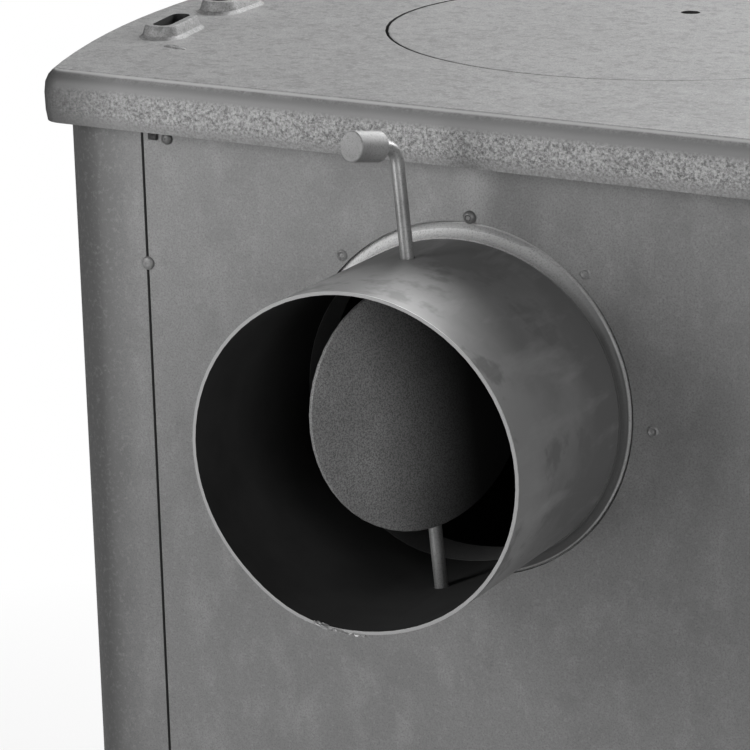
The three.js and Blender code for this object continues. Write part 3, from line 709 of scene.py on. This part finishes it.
def painted_shade_in_a_seam(centre, normal):
    """Whether a face of the casing looks into a seam or a hole, or lies behind one; such faces get black painted
    shade.
    """
    behind = abs(centre.y - DEPTH_SHIFT) < SHEET_FACE
    return abs(centre.x) < SEAMS_OUT and (abs(normal.x) > 0.3 or behind)


def inside_the_hob(centre, normal):
    """Whether a face of the hob is painted dark: with soot where it looks down into the smoke chamber, as painted
    shade on the floors and walls of its holes, the lid's seat and the vents' slots.
    """
    out, back = abs(centre.x), abs(centre.y - DEPTH_SHIFT)
    if centre.z < SKIRT_TOP and out < SKIRT_OUT and back < SKIRT_BACK:
        faces_out = centre.x * normal.x + (centre.y - DEPTH_SHIFT) * normal.y > 0.01
        return not faces_out
    if normal.z > 0.8:
        return centre.z < HOLE_FLOORS and out < HOLES_OUT
    if out < LID_OUT:
        return back < LID_BACK
    for vent_back, vent_out in VENTS:
        vent = Vector((vent_out if centre.x > 0 else -vent_out, vent_back, 0))
        toward = vent - Vector((centre.x, centre.y, 0))
        if toward.length < VENT_REACH and toward.dot(normal) > 0:
            return True
    return False


# ---------------------------------------------------------------- the stove


# fasteners' heads: how far each ring is inset and raised
RIVET = ((0.25, 0.5), (0.35, 0.5), (0.5, 0.35), (0.35, 0.1), (0.15, -0.3), (0.2, -0.25), (0.15, 0.35))
CRATER = ((0.3, 0.3), (0.55, 0.2), (0.5, -0.35), (0.5, -0.4), (0.4, 0.2))
FLAT_PAN = ((0.25, 0.45), (0.5, 0.35), (0.9, 0.2), (0.5, 0.05), (0.1, -0.25))
ROUND_PAN = ((0.2, 0.4), (0.5, 0.5), (0.9, 0.3), (0.4, 0.05), (0.1, -0.4))
HEXAGON = ((0.05, 2.6), (0.5, 0.25), (0.5, 0.0))

# where they are, across and up
FLUE_RIVET = (-2, 730)
SPOT_WELDS = ((60.8, 705.7), (-57.1, 711.1), (-90, 644.9), (90, 646))
SEAM_SCREWS, SEAM_SCREWS_UP = 161.2, (690.7, 440, 190)
LIP_SCREWS = (150, 749.9)
LIP_TABS = (157.2, 752.3)
FRAME_SCREWS, CLIP_SCREWS = (138, 146), (87, 52)  # from the middle of the door
RIM_BURRS = (  # across and up from the flue's axis, size, and turn in degrees
    (13.5, -73.2, (5.2, 1.2, 0.9), 14),
    (5.5, -74.2, (4.4, 1.0, 0.7), 5),
    (-2.5, -74.6, (4.0, 0.8, 0.6), -2),
)


def dress_the_solids(finish):
    """Gives every cut solid its finished copy, and marks the soot and painted shade on those that show any."""
    for node, edge in (("hob_plate", 0.6), ("hob_lid", 0.3)):
        blacken(softened(node, finish["hob"], edge), inside_the_hob)
    for side in ("left", "right"):
        blacken(softened(f"side_panel_{side}", finish["casing"], edge=0), painted_shade_in_a_seam)
    for node in ("rear_panel", "front_panel"):
        blacken(softened(node, finish["casing"], edge=0.2), painted_shade_in_a_seam)
    blacken(softened("flue_pipe", finish["smoked"], edge=0.5), inside_the_flue)
    blacken(softened("flue_flange", finish["collar"], edge=0), inside_the_flue)
    for part in ("floor", "rim", "front", "rear", "side_left", "side_right"):
        softened(f"firebox_{part}", finish["dark_inside"], edge=0.3)
    softened("damper_shaft", finish["rod"], edge=0.15)
    softened("damper_knob", finish["knob"], edge=0.15)
    for node in ("hinge_pin_lower", "hinge_pin_upper", "drawer_pull"):
        softened(node, finish["bare"], edge=0.15)
    softened("damper_plate", finish["disc"], edge=0.25)
    for node in ("latch_bolt", "air_slide_knob", "glass_clip_left", "glass_clip_right"):
        softened(node, finish["zinc"], edge=0.2)
    for along in ("front", "rear"):
        for across in ("left", "right"):
            softened(f"leg_{along}_{across}", finish["casting"], edge=1.2, segments=3)
            softened(f"levelling_foot_{along}_{across}", finish["zinc"], edge=0.3)
    for node in ("fire_door", "door_frame", "drawer_front", "latch_keeper", "hearth_plate", "grate"):
        softened(node, finish["casting"], edge=0.5)
    for node in ("base_plate", "ash_tray", "air_slide", "latch_handle"):
        softened(node, finish["black"], edge=0.3)
    for node in ("brick_left", "brick_right", "brick_rear", "baffle_plate"):
        softened(node, finish["clay"], edge=0.8)
    softened("door_seal", finish["rope"], edge=1.2, segments=3)
    softened("door_glass", finish["glass"], edge=0.3)
    softened("latch_grip", finish["wood"], edge=0.4)


def fasten_the_rear(finish):
    """The rivet, weld marks and screws of the rear panel and its seams."""
    x, z = FLUE_RIVET
    rivet = head("flue_rivet", 2.95, RIVET, place(x, REAR_PANEL, z), BACK)
    belongs(rivet, "stove", finish["rivet"])

    for number, (x, z) in enumerate(SPOT_WELDS):
        weld = head(f"spot_weld_{number}", 2.7, CRATER, place(x, REAR_PANEL - 0.5, z), BACK, corners=24)
        belongs(weld, "stove", finish["casing"])

    for side in (1, -1):
        for number, z in enumerate(SEAM_SCREWS_UP):
            at = place(side * SEAM_SCREWS, REAR_PANEL, z)
            screw = head(f"seam_screw_{side}_{number}", 3.1, FLAT_PAN, at, BACK)
            belongs(screw, "stove", finish["casing"])
        x, z = LIP_SCREWS
        screw = head(f"lip_screw_{side}", 2.7, FLAT_PAN, place(side * x, REAR_PANEL, z), BACK)
        belongs(screw, "stove", finish["rivet"])


def hang_the_tabs(finish):
    """The small folded tabs that hook the rear panel under the hob's lip, black as painted shade for the dark
    notches there.
    """
    x, z = LIP_TABS
    for side in (1, -1):
        bpy.ops.mesh.primitive_cube_add(size=1)
        tab = just_made(f"lip_tab_{side}")
        settle(tab, place(side * x, REAR_PANEL + 0.6, z), scale=(4.4 * MM, 1.6 * MM, 7.0 * MM))
        edit(tab)
        pick_faces(tab, looks_back)
        bpy.ops.mesh.inset(thickness=0.9 * MM, depth=0.6 * MM)
        pick_faces(tab, looks_up)
        extrude(0, -0.6, 0.8)
        done()
        round_edges(tab, 0.25, 2)
        shade_smooth(40)
        # painted shade: the tabs are black to stand for the dark notches under the lip
        belongs(tab, "stove", finish["black"])


def mark_the_hob(finish):
    """A small raised flaw of the casting, by a rear vent."""
    mark = lump("casting_mark", place(178, 143, 780), (7.0, 1.7, 1.0), (0, 0, radians(-14)), ragged=0.25, seed=4)
    belongs(mark, "stove", finish["hob"])


def weld_the_outlet(finish):
    """The bead along the pipe's seam, and the burrs on its rim nearby."""
    seam_radius, seam_angle = 76.6, radians(-72)
    start = place(seam_radius * cos(seam_angle), 204, FLUE_UP + seam_radius * sin(seam_angle))
    bead = rippled_bead("outlet_weld", start, BACK, length=97, radius=1.1, pitch=2.2)
    belongs(bead, "stove", finish["smoked"])
    for number, (across, up, size, turn) in enumerate(RIM_BURRS):
        at = place(across, PIPE_END, FLUE_UP + up)
        burr = lump(f"rim_burr_{number}", at, size, (0, radians(-turn), 0), ragged=0.45, seed=7 + number)
        belongs(burr, "stove", finish["bare"])


def fasten_the_front(finish):
    """Screws in the door frame's corners and in the clips behind the glass."""
    out, up = FRAME_SCREWS
    for x in (-out, out):
        for z in (DOOR_UP - up, DOOR_UP + up):
            at = place(x, -204.3, z)
            screw = head(f"frame_screw_{x}_{z}", 3.6, HEXAGON, at, FORTH, corners=6, smooth=20)
            belongs(screw, "stove", finish["zinc"])
    out, up = CLIP_SCREWS
    for x in (-out, out):
        for z in (DOOR_UP - up, DOOR_UP + up):
            at = place(x, -204, z)
            screw = head(f"clip_screw_{x}_{z}", 3.2, ROUND_PAN, at, BACK, corners=20, sunk=0.5)
            belongs(screw, "door", finish["zinc"])


finish = {
    "hob": hob_paint(),
    "casting": black_casting(),
    "casing": painted_sheet(),
    "smoked": smoked_steel(),
    "dark_inside": sooted_plate(),
    "collar": collar_steel(),
    "bare": bare_steel("bare_turned_steel", 0.3, 0.46, rough=0.42, metallic=0.55),
    "rod": bare_steel("rough_rod", 0.23, 0.34, rough=0.36, metallic=0.5),
    "knob": bare_steel("turned_knob", 0.24, 0.33, rough=0.5, metallic=0.25),
    "rivet": bare_steel("dark_rivet", 0.12, 0.2, rough=0.42, metallic=0.3),
    "zinc": bare_steel("zinc_plate", 0.42, 0.55, rough=0.34, metallic=0.75),
    "disc": scaled_disc(),
    "black": black_steel(),
    "clay": fireclay(),
    "rope": rope(),
    "glass": stove_glass(),
    "wood": oiled_wood(),
}

place_camera()
light_the_stage()
light_the_room()
lay_floor()
dress_the_solids(finish)
fasten_the_rear(finish)
hang_the_tabs(finish)
mark_the_hob(finish)
weld_the_outlet(finish)
fasten_the_front(finish)

bpy.context.view_layer.update()
